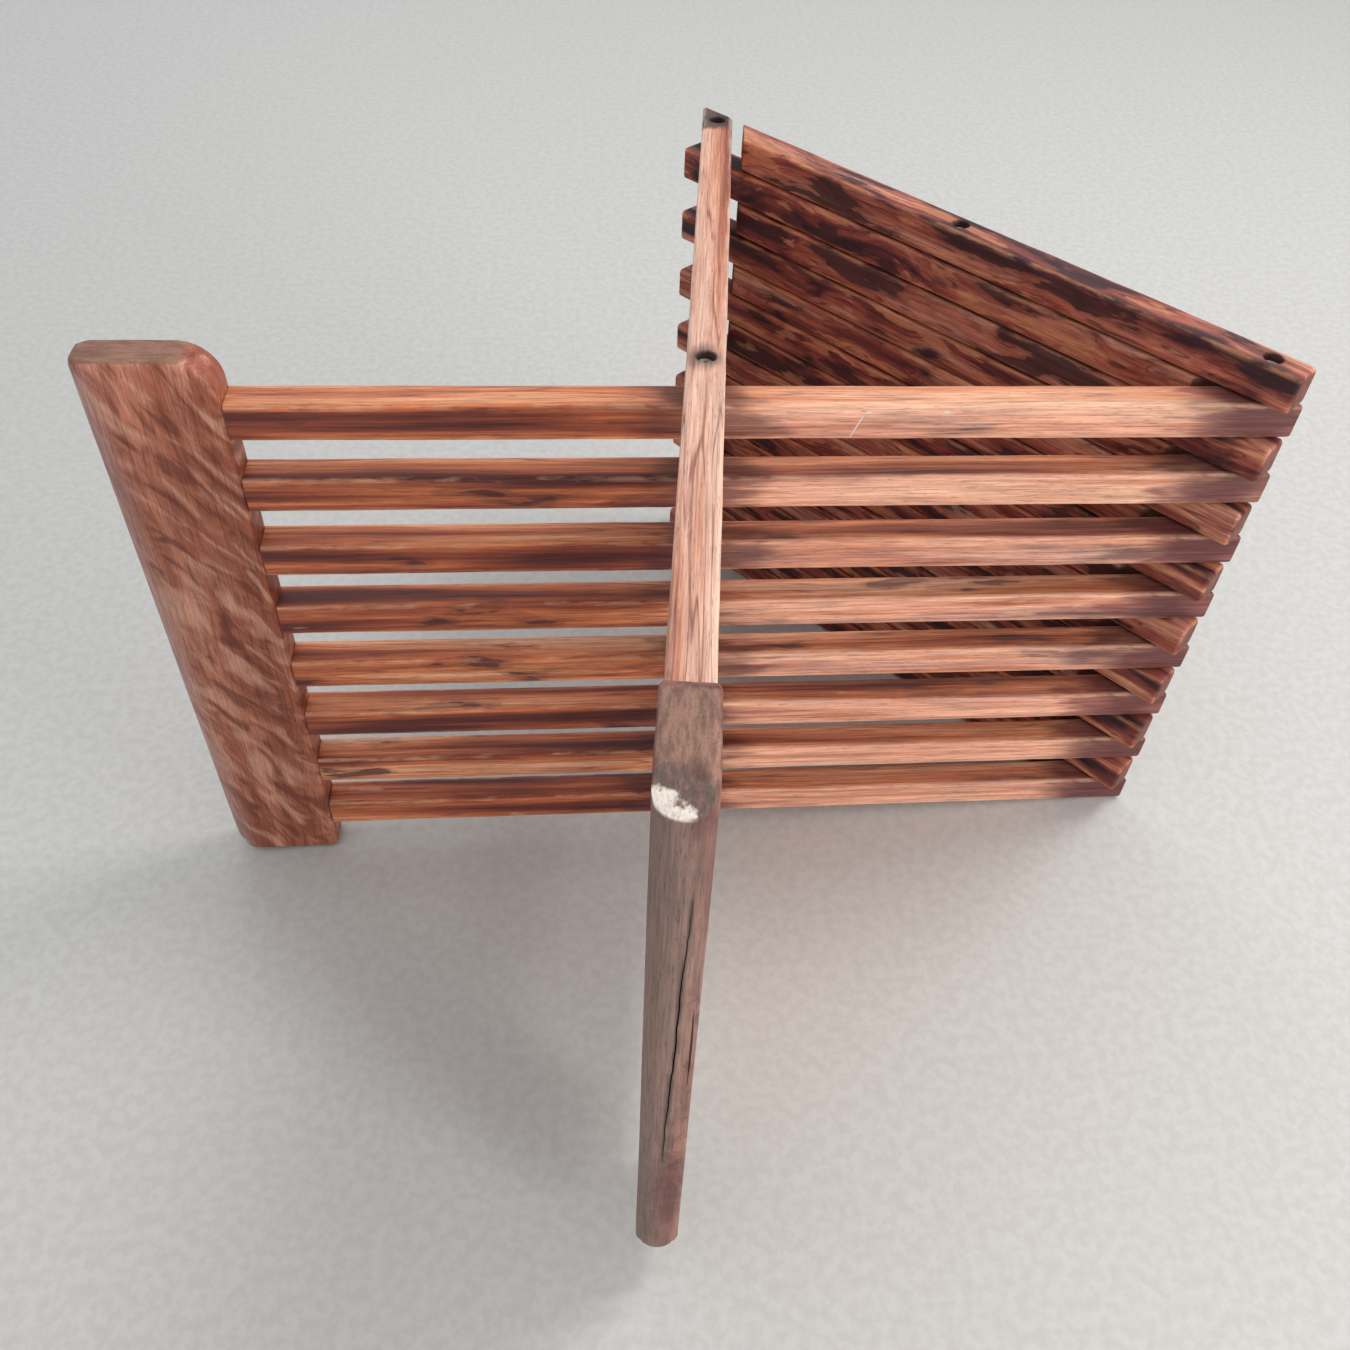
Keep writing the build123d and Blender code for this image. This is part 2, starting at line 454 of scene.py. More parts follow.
class SlatTree(ShapeTree):
    """Makes a slat: a worn bar with a mitred head, two rod bores and, on a side, a dowel hole."""

    counts = (130, 12, 12)
    wear = 0.45 * MM
    bow = 0.25 * MM
    drill_margin = 2 * MM
    seed_step = 57.0
    arris_pattern = Pattern((14.0, 3.0, 3.0))
    bow_place = (0.0, 3.0, 0.0)
    wear_pattern = Pattern((30.0, 90.0, 90.0), 1.0)
    cone_inset = 0.01 * MM

    def __init__(self) -> None:
        """Build the tree."""
        numbers = (
            "Foot", "Head", "Head Slope", "Half Depth", "Half Thickness", "Arris", "Foot Arris",
            "Head Arris", "First Bore", "Second Bore", "Bore Radius", "Mouth", "Dowel Radius",
            "Dowel Depth", "Turn", "Tone", "Marks",
        )
        inlets = {label: Inlet.NUMBER for label in numbers}
        inlets.update({"Doweled": Inlet.SWITCH, "Place": Inlet.POINT, "Finish": Inlet.FINISH})
        super().__init__("slat", inlets)
        bar = self.bar()
        bored = self.cut(bar, self.bores() + [self.dowel_hole()])
        marked = self.labelled(bored)
        turn = self.join(0.0, 0.0, self.inlet("Turn"))
        self.close(self.placed(marked, self.inlet("Place"), turn))

    def bar(self) -> Term:
        """Shape the block into a bar with rounded edges, a mitred head and some wear.

        Returns:
            The bar.
        """
        unit_x, unit_y, unit_z = self.split(self.position())
        half_depth, half_thickness = self.inlet("Half Depth"), self.inlet("Half Thickness")
        share = 0.5 + 0.5 * self.sine(unit_x * math.pi)
        y = self.sine(unit_y * math.pi) * half_depth
        z = self.sine(unit_z * math.pi) * half_thickness
        length = self.inlet("Head") - self.inlet("Foot")
        seed = self.inlet("Tone") * self.seed_step
        edge = (share * length, self.maths("SIGN", y), self.maths("SIGN", z))
        arris = self.inlet("Arris") * (0.6 + 0.7 * self.pattern(self.arris_pattern, edge, seed))
        y, z = self.rounded(y, z, (half_depth, half_thickness), arris)
        inset = self.inset(share * length, self.inlet("Foot Arris"))
        inset = inset + self.inset((1 - share) * length, self.inlet("Head Arris"))
        shrink = 1 - inset / half_depth
        y, z = y * shrink, z * shrink
        x = self.inlet("Foot") * (1 - share) + (self.inlet("Head") + y * self.inlet("Head Slope")) * share
        bend = self.pattern(Pattern(), self.bow_place, seed) - 0.5
        y = y + bend * share * (1 - share) * (8 * self.bow)
        worn = self.roughened((x, y, z), self.wear_pattern, seed, (0.0, self.wear, self.wear))
        return self.moved(self.block(self.counts), worn)

    def inset(self, distance: Term, radius: Term) -> Term:
        """Return how far the sides draw in at a distance from an end rounded to a radius."""
        rest = radius - distance.at_most(radius)
        return radius - (radius * radius - rest * rest).at_least(0.0).root()

    def bores(self) -> list[Term]:
        """Make the cutters of the two rod bores, each with a worn mouth at both faces.

        Returns:
            The cutters.
        """
        radius, mouth, face = self.inlet("Bore Radius"), self.inlet("Mouth"), self.inlet("Half Thickness")
        drill = self.drill(radius, 2.0 * (face + self.drill_margin))
        cone = self.term("GeometryNodeMeshCone", None, {
            "Vertices": self.round_points, "Radius Top": radius + 2.0 * mouth,
            "Radius Bottom": radius - self.cone_inset, "Depth": 2.0 * mouth,
        })
        cutters = []
        for label in ("First Bore", "Second Bore"):
            at = self.inlet(label)
            cutters.append(self.placed(drill, self.join(at, 0.0, 0.0)))
            cutters.append(self.placed(cone, self.join(at, 0.0, face - mouth)))
            cutters.append(self.placed(cone, self.join(at, 0.0, mouth - face), (math.pi, 0.0, 0.0)))
        return cutters

    def dowel_hole(self) -> Term:
        """Make the cutter of the dowel hole in the foot.

        Returns:
            The cutter, or nothing on a slat with no dowel.
        """
        depth = self.inlet("Dowel Depth") + self.drill_margin
        hole = self.drill(self.inlet("Dowel Radius"), depth)
        middle = self.inlet("Foot") + depth / 2.0 - self.drill_margin
        lying = self.placed(hole, self.join(middle, 0.0, 0.0), (0.0, math.pi / 2, 0.0))
        inputs = {0: self.inlet("Doweled"), 2: lying}
        return self.term("GeometryNodeSwitch", {"input_type": "GEOMETRY"}, inputs)

    def labelled(self, timber: Term) -> Term:
        """Store what the finish reads: place along the grain, the slat's own tone, ends and marks.

        Args:
            timber: The shaped slat.

        Returns:
            The slat with its values.
        """
        position = self.position()
        x, y, _ = self.split(position)
        to_head = self.inlet("Head") + y * self.inlet("Head Slope") - x
        to_end = to_head.at_most(x - self.inlet("Foot"))
        return self.noted(
            timber, position, tone=self.inlet("Tone"), end=to_end.rise(0.6 * MM, 0.1 * MM),
            marks=self.inlet("Marks"),
        )


class BoardTree(ShapeTree):
    """Makes a grip board: bullnose edge, rounded corners, dowel holes, splits and a chewed corner.

    Locally X runs from the outer edge to the inner one, Y through the thickness and Z up, all
    from the middle of the board.
    """

    counts = (46, 18, 240)
    wear = 0.55 * MM
    dowel_margin = 1 * MM
    seed_step = 31.0
    wear_pattern = Pattern((60.0, 60.0, 16.0))
    chew_pattern = Pattern((170.0, 200.0, 80.0), 3.0, 0.6)
    split_pattern = Pattern((22.0, 1.0, 1.0), 3.0, 0.6)
    blade_counts = (5, 3, 90)
    facet_normal = Vector((-0.27, 0.14, 0.95)).normalized()
    facet_back = 12.5 * MM      # from the outer edge to the facet, along the middle of the head
    ragged = 1.8 * MM
    short_split_bend = math.radians(50)     # how far round the bullnose the short split opens
    chew_flush = 0.96
    midline = 0.1 * MM          # half the blend between the outer and inner, or head and foot, shapes
    long_split_reach = (-64 * MM, 128 * MM)
    short_split_reach = (0.0, 57 * MM)

    def __init__(self, dowel_heights: list[float]) -> None:
        """Build the tree.

        Args:
            dowel_heights: Height of each dowel above its board's middle, before the board's shift.
        """
        numbers = (
            "Half Width", "Half Thickness", "Half Height", "Bullnose", "Arris", "Outer Head Corner",
            "Inner Head Corner", "Outer Foot Corner", "Inner Foot Corner", "Chew", "Dowel Radius",
            "Dowel Depth", "Turn", "Tone",
        )
        inlets = {label: Inlet.NUMBER for label in numbers}
        inlets.update({"Cracked": Inlet.SWITCH, "Place": Inlet.POINT, "Finish": Inlet.FINISH})
        super().__init__("grip_board", inlets)
        drilled = self.cut(self.plank(), [self.dowel_hole(height) for height in dowel_heights])
        cracked = self.cut(drilled, [self.long_split(), self.short_split()])
        timber = self.term("GeometryNodeSwitch", {"input_type": "GEOMETRY"},
                           {0: self.inlet("Cracked"), 1: drilled, 2: cracked})
        turn = self.join(0.0, 0.0, self.inlet("Turn"))
        self.close(self.placed(self.labelled(timber), self.inlet("Place"), turn))

    def plank(self) -> Term:
        """Shape the block into the board, with its chewed corner and its wear.

        Returns:
            The board.
        """
        unit_x, unit_y, unit_z = self.split(self.position())
        width, thickness, height = (self.inlet(f"Half {side}") for side in ("Width", "Thickness", "Height"))
        x = (0.7 * self.sine(unit_x * math.pi) + 0.6 * unit_x) * width
        y = self.sine(unit_y * math.pi) * thickness
        z = (0.15 * self.sine(unit_z * math.pi) + 1.7 * unit_z) * height
        outer, head = x.rise(self.midline, -self.midline), z.rise(-self.midline, self.midline)
        y, z = self.rounded(y, z, (thickness, height), self.inlet("Arris"))
        edge = self.choose(outer, self.inlet("Bullnose"), self.inlet("Arris"))
        x, y = self.rounded(x, y, (width, thickness), edge)
        head_corner = self.choose(outer, self.inlet("Outer Head Corner"), self.inlet("Inner Head Corner"))
        foot_corner = self.choose(outer, self.inlet("Outer Foot Corner"), self.inlet("Inner Foot Corner"))
        x, z = self.rounded(x, z, (width, height), self.choose(head, head_corner, foot_corner))
        seed = self.inlet("Tone") * self.seed_step
        shaped = self.roughened((x, y, z), self.wear_pattern, seed, (self.wear, self.wear, self.wear))
        return self.moved(self.block(self.counts), self.chewed(shaped))

    def choose(self, mask: Term, inside: Term, outside: Term) -> Term:
        """Return inside where mask is 1 and outside where it is 0."""
        return inside * mask + outside * (1 - mask)

    def proud(self, position: Term) -> Term:
        """Measure how far a point stands out of the ragged facet of the chewed corner.

        Args:
            position: The point.

        Returns:
            The distance, below zero under the facet and on a board that is whole.
        """
        x, y, z = self.split(position)
        normal = self.facet_normal
        edge = self.facet_back - self.inlet("Half Width")
        flat = (x - edge) * normal.x + y * normal.y + (z - self.inlet("Half Height")) * normal.z
        torn = self.pattern(self.chew_pattern, (x, y, z)) - 0.5
        return flat + torn * self.ragged - (1 - self.inlet("Chew"))

    def chewed(self, position: Term) -> Term:
        """Press the points that stand out of the facet back onto it.

        Args:
            position: The point.

        Returns:
            Its new position.
        """
        push = self.proud(position).at_least(0.0) * self.chew_flush
        normal = self.facet_normal
        offset = self.join(*(push * axis for axis in normal))
        return self.vectors("SUBTRACT", position, offset)

    def dowel_hole(self, height: float) -> Term:
        """Make the cutter of one dowel hole.

        Args:
            height: Its height above the board's middle.

        Returns:
            The cutter.
        """
        depth = self.inlet("Dowel Depth") + self.dowel_margin
        hole = self.drill(self.inlet("Dowel Radius"), depth)
        middle = self.inlet("Half Width") + self.dowel_margin - depth / 2.0
        return self.placed(hole, self.join(middle, 0.0, height), (0.0, math.pi / 2, 0.0))

    def blade(
        self, reach: tuple[float, float], width: float, depth: float, path: Callable[[Term], Term]
    ) -> Term:
        """Make a wandering wedge that opens a split.

        Args:
            reach: Height of its lower and its upper tip, above the board's middle.
            width: Widest opening at the surface.
            depth: How deep it goes, along X.
            path: Gives the place of the split across the surface at a height.

        Returns:
            The cutter, which starts outside the surface at X = 0.
        """
        low, high = reach
        unit_x, unit_y, unit_z = self.split(self.position())
        inward, share = unit_x + 0.5, unit_z + 0.5
        opening = self.sine(share * math.pi).eased(0.85)
        height = unit_z * (high - low) + (high + low) / 2
        y = unit_y * width * opening * (1.15 - inward) + path(height)
        x = inward * (depth + self.dowel_margin) - self.dowel_margin
        z = share * (high - low) + low
        return self.moved(self.block(self.blade_counts), self.join(x, y, z))

    def wander(self, height: Term, reach: float) -> Term:
        """Return how far a split strays sideways at a height, up to about reach."""
        return (self.pattern(self.split_pattern, (height, 4.0, 0.0)) - 0.5) * (2.0 * reach)

    def short_path(self, height: Term) -> Term:
        """Return where the short split lies across its surface at a height."""
        return self.wander(height, 0.8 * MM)

    def long_path(self, height: Term) -> Term:
        """Return where the long split lies across the bullnose edge at a height."""
        return self.wander(height, 1.6 * MM) - height * 0.02 - 1.2 * MM

    def long_split(self) -> Term:
        """Make the cutter of the long split down the bullnose edge.

        Returns:
            The cutter.
        """
        blade = self.blade(self.long_split_reach, 0.55 * MM, 6 * MM, self.long_path)
        return self.placed(blade, self.join(-self.inlet("Half Width"), 0.0, 0.0))

    def short_split(self) -> Term:
        """Make the cutter of the short split on the flank of the bullnose edge.

        Returns:
            The cutter.
        """
        blade = self.blade(self.short_split_reach, 1.5 * MM, 5 * MM, self.short_path)
        bend, bullnose = self.short_split_bend, self.inlet("Bullnose")
        back = bullnose * (1 - math.cos(bend)) - self.inlet("Half Width")
        side = bullnose * (1 - math.sin(bend)) - self.inlet("Half Thickness")
        return self.placed(blade, self.join(back, side, 0.0), (0.0, 0.0, bend))

    def labelled(self, timber: Term) -> Term:
        """Store what the finish reads: place along the grain, tone, ends, raw wood and the painted shade
        along the long split.

        Args:
            timber: The shaped board.

        Returns:
            The board with its values.
        """
        position = self.position()
        x, y, z = self.split(position)
        to_end = self.inlet("Half Height") - abs(z)
        down = x + self.inlet("Half Width") + z - self.inlet("Half Height")
        # Where the long split gets its painted shade: in and beside it at the bullnose edge.
        beside = abs(y - self.long_path(z)).rise(0.8 * MM, 0.2 * MM)
        at_edge = (x + self.inlet("Half Width")).rise(9 * MM, 5 * MM)
        low, high = self.long_split_reach
        in_reach = z.rise(low - 12 * MM, low + 8 * MM) * z.rise(high + 14 * MM, high - 6 * MM)
        return self.noted(
            timber, self.join(z, x, y), tone=self.inlet("Tone"), end=to_end.rise(1.6 * MM, 0.5 * MM),
            raw=self.proud(position).rise(-0.8 * MM, -0.2 * MM), fray=down,
            split=beside * at_edge * in_reach,
        )


@dataclass(frozen=True)
class Timber:
    """Sizes that every slat, board and bore shares."""

    depth: float = 18 * MM
    thickness: float = 19 * MM
    arris: float = 2.4 * MM
    foot_arris: float = 0.35 * MM
    head_arris: float = 0.9 * MM
    stub_arris: float = 2.2 * MM
    bore_radius: float = 4.55 * MM
    outer_mouth: float = 0.5 * MM
    inner_mouth: float = 0.15 * MM
    dowel_radius: float = 4.0 * MM
    dowel_depth: float = 18 * MM
    grip_length: float = 212.5 * MM
    base_overhang: float = 18.5 * MM
    base_end_gap: float = 6.6 * MM
    board_width: float = 60.5 * MM
    board_thickness: float = 20 * MM
    board_bullnose: float = 9.5 * MM
    board_arris: float = 2.6 * MM

    @property
    def halves(self) -> tuple[float, float]:
        """Half a slat's depth and half its thickness."""
        return self.depth / 2, self.thickness / 2


TIMBER = Timber()


# ---- Finishes ----


class FinishTree(Graph):
    """A material's node tree, with one Principled shader."""

    def __init__(self, name: str) -> None:
        """Make an empty material.

        Args:
            name: Its name.
        """
        self.material = bpy.data.materials.new(name)
        self.material.use_nodes = True
        super().__init__(self.material.node_tree)
        self.tree.nodes.clear()

    def whereabouts(self) -> Place:
        """Return the point's place in its object."""
        return self.split(self.term("ShaderNodeTexCoord", None, None, "Object"))

    def stored(self, name: str, output: str = "Fac") -> Term:
        """Return what the mesh stores under a name: Fac for a number, Vector for a vector."""
        return self.term("ShaderNodeAttribute", {"attribute_name": name}, None, output)

    def layered(self, colour: Any, layers: Iterable[tuple[Value, Any]]) -> Term:
        """Lay colours over a colour, in order.

        Args:
            colour: The colour below them all.
            layers: How strongly each is laid on, and its colour.

        Returns:
            The colour seen in the end.
        """
        for strength, layer in layers:
            colour = self.blend(strength, colour, layer)
        return colour

    def tinted(self, colour: Term, shade: Term, low: float, high: float) -> Term:
        """Darken or lighten a colour by a shade from 0 to 1, between two strengths."""
        grey = self.blend(shade, (low, low, low, 1.0), (high, high, high, 1.0))
        return self.blend(1.0, colour, grey, "MULTIPLY")

    def close(
        self, colour: Term, roughness: Value, height: Term, relief: float,
        fixed: Optional[dict[str, Any]] = None,
    ) -> Material:
        """Feed the shader and end the tree.

        Args:
            colour: Base colour.
            roughness: Roughness.
            height: Relief pattern from 0 to 1.
            relief: Depth of the relief, in metres.
            fixed: Values of other shader sockets that are the same all over.

        Returns:
            The finished material.
        """
        bump = self.term("ShaderNodeBump", None, {"Strength": 1.0, "Distance": relief, "Height": height})
        inputs = {"Base Color": colour, "Roughness": roughness, "Normal": bump}
        inputs.update(fixed or {})
        shader = self.term("ShaderNodeBsdfPrincipled", None, inputs)
        self.node("ShaderNodeOutputMaterial", None, {"Surface": shader})
        return self.material


class WoodTree(FinishTree):
    """A finish that reads what timber stores: place along the grain, tone and ends."""

    def __init__(self, name: str, seed_step: float) -> None:
        """Make an empty material.

        Args:
            name: Its name.
            seed_step: How far the patterns shift between tones 0 and 1.
        """
        super().__init__(name)
        self.place = self.split(self.stored("place", "Vector"))
        self.tone, self.end = self.stored("tone"), self.stored("end")
        self.seed = self.tone * seed_step

    def grain(self, pattern: Pattern, place: Optional[Place] = None) -> Term:
        """Return a pattern that differs between pieces, at the point's own place unless one is given."""
        return self.pattern(pattern, place or self.place, self.seed)


@dataclass(frozen=True)
class SlatFinish:
    """Old oiled slat timber: zones of colour with dark veins, stains, worn arrises, open pores."""

    name: str
    second_bore: float          # from the first rod to the second
    zones: tuple[tuple[float, Colour], ...]     # from stained heartwood to bleached wood
    vein: Colour
    rubbed: Colour
    stain: Colour
    end_grain: Colour
    vein_strength: float
    waviness: float             # how far the zones bulge across the grain
    wave_rate: float            # bulges per metre
    stain_level: float          # higher puts more black stains on the slat
    patch_level: float          # lower puts more rubbed patches on the slat
    rod_stain: float            # strength of the dark bleed round the rods
    bleed_reach: float
    roughness: float
    blots: Pattern = Pattern((12.0, 52.0, 52.0), 4.0, 0.55)
    far_face_bleach_and_light: float = 0.0     # bleached wood and painted light on the outer face beyond the first rod
    near_shade: float = 0.0     # painted shade before it; paler there below zero
    tip_stain: float = 0.0      # stain from just before the second rod to the slat's tip
    tip_reach: float = 25 * MM
    # Colour of the outer face beyond the first rod: bleached wood with painted light on it.
    bleached: Colour = paint(228, 180, 160)
    wine: Colour = paint(112, 48, 54)
    mark: Colour = paint(216, 210, 204)

    # What all slats share: patterns, then masks that rise from one value to another, then shares.
    seed_step = 61.0
    wave_pitch = 18.0
    zone_grain = Pattern((3.4, 78.0, 78.0), 2.0, 0.45)
    streaks = Pattern((5.5, 330.0, 330.0), 3.0, 0.6)
    hairs = Pattern((36.0, 1150.0, 1150.0), 2.0, 0.6)
    pores = Pattern((150.0, 2300.0, 2300.0), 1.0)
    rings = Pattern((0.0, 420.0, 420.0), 3.0)
    rubs = Pattern((42.0, 160.0, 160.0), 3.0, 0.6)
    outer_face = (3 * MM - TIMBER.depth / 2, 1 * MM - TIMBER.depth / 2)
    beyond_rod = (-25 * MM, 35 * MM)
    vein_fade = (0.38, 0.56)
    bleach_and_light_fade = (0.2, 0.6)
    pore_fade = (0.36, 0.28)
    hair_tint = (0.66, 1.24)
    streak_tint = (0.84, 1.12)
    end_tint = (0.7, 1.1)
    soft_edge = 0.04            # how gently stains and patches end
    tone_shift = 0.12           # how far slats differ from each other
    streak_shift = 0.2
    relief = 0.15 * MM
    sheen = {"IOR": 1.4}

    def material(self) -> Material:
        """Make the material.

        Returns:
            The material.
        """
        tree = WoodTree(self.name, self.seed_step)
        x, y, z = tree.place
        wander = tree.grain(Pattern((self.wave_rate, self.wave_pitch, self.wave_pitch), 1.0))
        bend = (wander - 0.5) * self.waviness
        warped = (x, y + bend, z + bend * 0.8)
        patterns = (self.zone_grain, self.streaks, self.blots, self.rings)
        zone, streak, blot, ring = (tree.grain(pattern, warped) for pattern in patterns)
        hair, pore = tree.grain(self.hairs), tree.grain(self.pores).rise(*self.pore_fade)

        outer, beyond = y.rise(*self.outer_face), x.rise(*self.beyond_rod)
        level = zone + (tree.tone - 0.5) * self.tone_shift + (streak - 0.5) * self.streak_shift
        # Painted shade on all faces before the first rod, most on the outer face; below zero it lightens
        # them instead.
        level = level - (1 - beyond) * outer.eased(0.4) * self.near_shade
        lines = tree.veins(zone, 9.0, 0.11) * blot.rise(*self.vein_fade) * self.vein_strength
        black = blot.rise(self.stain_level, self.stain_level - self.soft_edge) * 0.85
        rim = blot.rise(self.stain_level + self.soft_edge, self.stain_level) * 0.35
        patch = blot.rise(self.patch_level, self.patch_level + self.soft_edge)
        # Bleached wood and painted light on the outer face beyond the first rod.
        pale = beyond * outer.eased(0.7) * streak.rise(*self.bleach_and_light_fade) * self.far_face_bleach_and_light
        colour = tree.layered(tree.ramp(level, self.zones), (
            (lines, self.vein),
            (black.at_least(rim), self.stain),
            (patch * 0.55, self.rubbed),
            (pale, self.bleached),
            (self.tip(x, streak, blot) * self.tip_stain, self.wine),
            *self.rod_stains(x, y, blot),
            (self.worn(tree) * 0.6, self.rubbed),
        ))
        colour = tree.tinted(colour, hair.rise(0.2, 0.8), *self.hair_tint)
        colour = tree.tinted(colour, streak.rise(0.3, 0.7), *self.streak_tint)
        cut_end = tree.tinted(tree.blend(ring, self.end_grain, self.vein), hair, *self.end_tint)
        colour = tree.layered(colour, (
            (pore * 0.4, self.vein),
            (tree.end * 0.85, cut_end),
            (self.marks(tree), self.mark),
        ))
        roughness = self.roughness + hair * 0.16 + level * 0.1 + tree.end * 0.2
        height = hair * 0.6 + streak * 0.5 - pore * 0.7 - lines * 0.3
        return tree.close(colour, roughness, height, self.relief, self.sheen)

    def tip(self, x: Term, streak: Term, blot: Term) -> Term:
        """Return where the slat's tip is stained.

        Args:
            x: Place along the slat.
            streak: Pattern that frays the stain's edge finely.
            blot: Pattern that frays it broadly.

        Returns:
            1 in the stain and 0 outside it.
        """
        spread = (blot - 0.5) * (8.0 * self.tip_reach) + (streak - 0.5) * (2.4 * self.tip_reach)
        start = self.second_bore - self.tip_reach
        return (x + spread).rise(start - self.tip_reach / 2, start + self.tip_reach / 2)

    def rod_stains(self, x: Term, y: Term, blot: Term) -> list[tuple[Term, Colour]]:
        """Blacken the wood round the rods and inside their bores.

        Args:
            x: Place along the slat.
            y: Place across it.
            blot: Pattern that frays the stain.

        Returns:
            Two layers.
        """
        second = x - self.second_bore
        reach = (x * x + y * y).root().at_most((second * second + y * y).root())
        frayed = reach + (blot - 0.5) * (3.0 * self.bleed_reach)
        bleed = frayed.rise(self.bleed_reach, self.bleed_reach / 3) * self.rod_stain
        inside = reach.rise(TIMBER.bore_radius + 1.4 * MM, TIMBER.bore_radius - 0.1 * MM) * 0.75
        return [(bleed, self.stain), (inside, self.stain)]

    def worn(self, tree: WoodTree) -> Term:
        """Find where the arrises are rubbed pale.

        Args:
            tree: The material's tree.

        Returns:
            1 where they are and 0 elsewhere.
        """
        corner = tree.pattern(self.rubs, tree.place).rise(0.4, 0.6)
        for axis, half in zip(tree.place[1:], TIMBER.halves):
            corner = corner * abs(axis).rise(half - 3.2 * MM, half - 0.2 * MM)
        return corner

    def marks(self, tree: WoodTree) -> Term:
        """Find the white scratch and the two flecks on the outer face of a marked slat.

        Args:
            tree: The material's tree.

        Returns:
            Strength of the marks.
        """
        x, y, z = tree.place
        marks = abs(x - z * 0.4 - 72 * MM).rise(0.5 * MM, 0.2 * MM) * abs(z + 2 * MM).rise(7 * MM, 5 * MM)
        for centre, stretch, radius in ((113 * MM, 2.0, 1.0 * MM), (76 * MM, 1.8, 1.1 * MM)):
            fleck_x, fleck_z = (x - centre) / stretch, z - 6 * MM
            fleck = (fleck_x * fleck_x + fleck_z * fleck_z).root()
            marks = marks.at_least(fleck.rise(radius, 0.5 * MM))
        outer = y.rise(2 * MM - TIMBER.depth / 2, 0.5 * MM - TIMBER.depth / 2)
        return marks * outer * tree.stored("marks") * 0.8


@dataclass(frozen=True)
class BoardFinish:
    """A handled grip board: cloudy red-brown wood with a wavy figure and a greyed bullnose edge."""

    name: str
    heart: Colour
    light: Colour
    dark: Colour
    veil: Colour
    edge: Colour
    end_grain: Colour
    end_dark: Colour
    raw: Colour
    split_shade: Colour
    stripe_share: float
    veil_share: float
    edge_share: float
    edge_lean: float            # how much more one side of the bullnose edge is greyed, per metre
    end_scruff: float
    roughness: float

    # What both boards share: patterns, then masks that rise from one value to another.
    seed_step = 43.0
    waviness = 42 * MM          # how far the zones bulge across the grain
    wave = Pattern((6.0, 12.0, 12.0))
    zone_grain = Pattern((4.0, 60.0, 40.0))
    streaks = Pattern((8.0, 210.0, 210.0), 4.0, 0.6)
    ripples = Pattern((30.0, 130.0, 60.0), 2.0, 0.5, 0.5)
    hairs = Pattern((45.0, 1200.0, 1200.0), 2.0, 0.6)
    pores = Pattern((160.0, 2300.0, 2300.0), 1.0)
    clouds = Pattern((10.0, 26.0, 26.0), 3.0, 0.6, 0.5)
    splinters = Pattern((120.0, 300.0, 700.0), 4.0, 0.65)
    fringes = Pattern((90.0, 120.0, 150.0), 3.0, 0.6)
    rings = Pattern((90.0, 420.0, 1.0), 3.0, 0.6)
    specks = Pattern((800.0, 800.0, 1.0))
    scruffs = Pattern((34.0, 70.0, 1.0), 3.0, 0.55)
    rim = (16 * MM - TIMBER.board_width / 2, 3 * MM - TIMBER.board_width / 2)
    pore_fade = (0.36, 0.28)
    hair_tint = (0.72, 1.2)
    end_tint = (0.7, 1.25)
    relief = 0.16 * MM
    sheen = {"IOR": 1.42}

    def material(self) -> Material:
        """Make the material.

        Returns:
            The material.
        """
        tree = WoodTree(self.name, self.seed_step)
        along, across, thick = tree.place
        wave = across + (tree.grain(self.wave) - 0.5) * self.waviness
        broad, streak = (tree.grain(each, (along, wave, thick)) for each in (self.zone_grain, self.streaks))
        ripple = tree.grain(self.ripples, (along - across * 0.6, wave + along * 0.5, thick))
        hair, cloud = tree.grain(self.hairs), tree.grain(self.clouds)
        pore = tree.grain(self.pores).rise(*self.pore_fade)
        splinter = tree.pattern(self.splinters, tree.place)

        figure = ripple.rise(0.48, 0.68) * cloud.rise(0.25, 0.5)
        greyed = across.rise(*self.rim) * (cloud + thick * self.edge_lean).rise(0.25, 0.6)
        colour = tree.layered(self.heart, (
            (broad.rise(0.42, 0.62), self.light),
            (streak.rise(0.48, 0.7) * self.stripe_share, self.dark),
            (tree.veins(broad, 9.0, 0.12) * 0.4, self.dark),
            (figure * self.veil_share, self.veil),
            (ripple.rise(0.46, 0.34) * 0.65, self.dark),
            (tree.veins(ripple, 4.0, 0.14) * cloud.rise(0.6, 0.4) * 0.5, self.dark),
            (greyed * self.edge_share, self.edge),
        ))
        raw = tree.stored("raw")
        colour = tree.layered(tree.tinted(colour, hair.rise(0.25, 0.75), *self.hair_tint), (
            (pore * 0.45, self.dark),
            (tree.end * 0.9, self.end_colour(tree)),
            (raw, self.torn_colour(tree, splinter)),
            # Painted shade, near black, along the long split.
            (tree.stored("split") * 0.8, self.split_shade),
        ))
        roughness = self.roughness + hair * 0.14 + tree.end * 0.2 + raw * 0.3
        height = hair * 0.6 + streak * 0.5 - pore * 0.7 + splinter * raw * 3.0
        return tree.close(colour, roughness, height, self.relief, self.sheen)

    def torn_colour(self, tree: WoodTree, splinter: Term) -> Term:
        """Colour the chewed corner: pale torn fibres with a dirty fringe.

        Args:
            tree: The material's tree.
            splinter: Pattern of the fibres.

        Returns:
            The colour.
        """
        fringe = tree.pattern(self.fringes, tree.place) - tree.place[2] * 26.0
        fibre = tree.blend(splinter.rise(0.4, 0.7) * 0.7, self.end_dark, self.light)
        return tree.layered(self.raw, (
            (splinter.rise(0.4, 0.75) * 0.5, self.veil),
            ((fringe + tree.stored("fray") * 34.0).rise(0.5, 0.62) * 0.9, fibre),
        ))

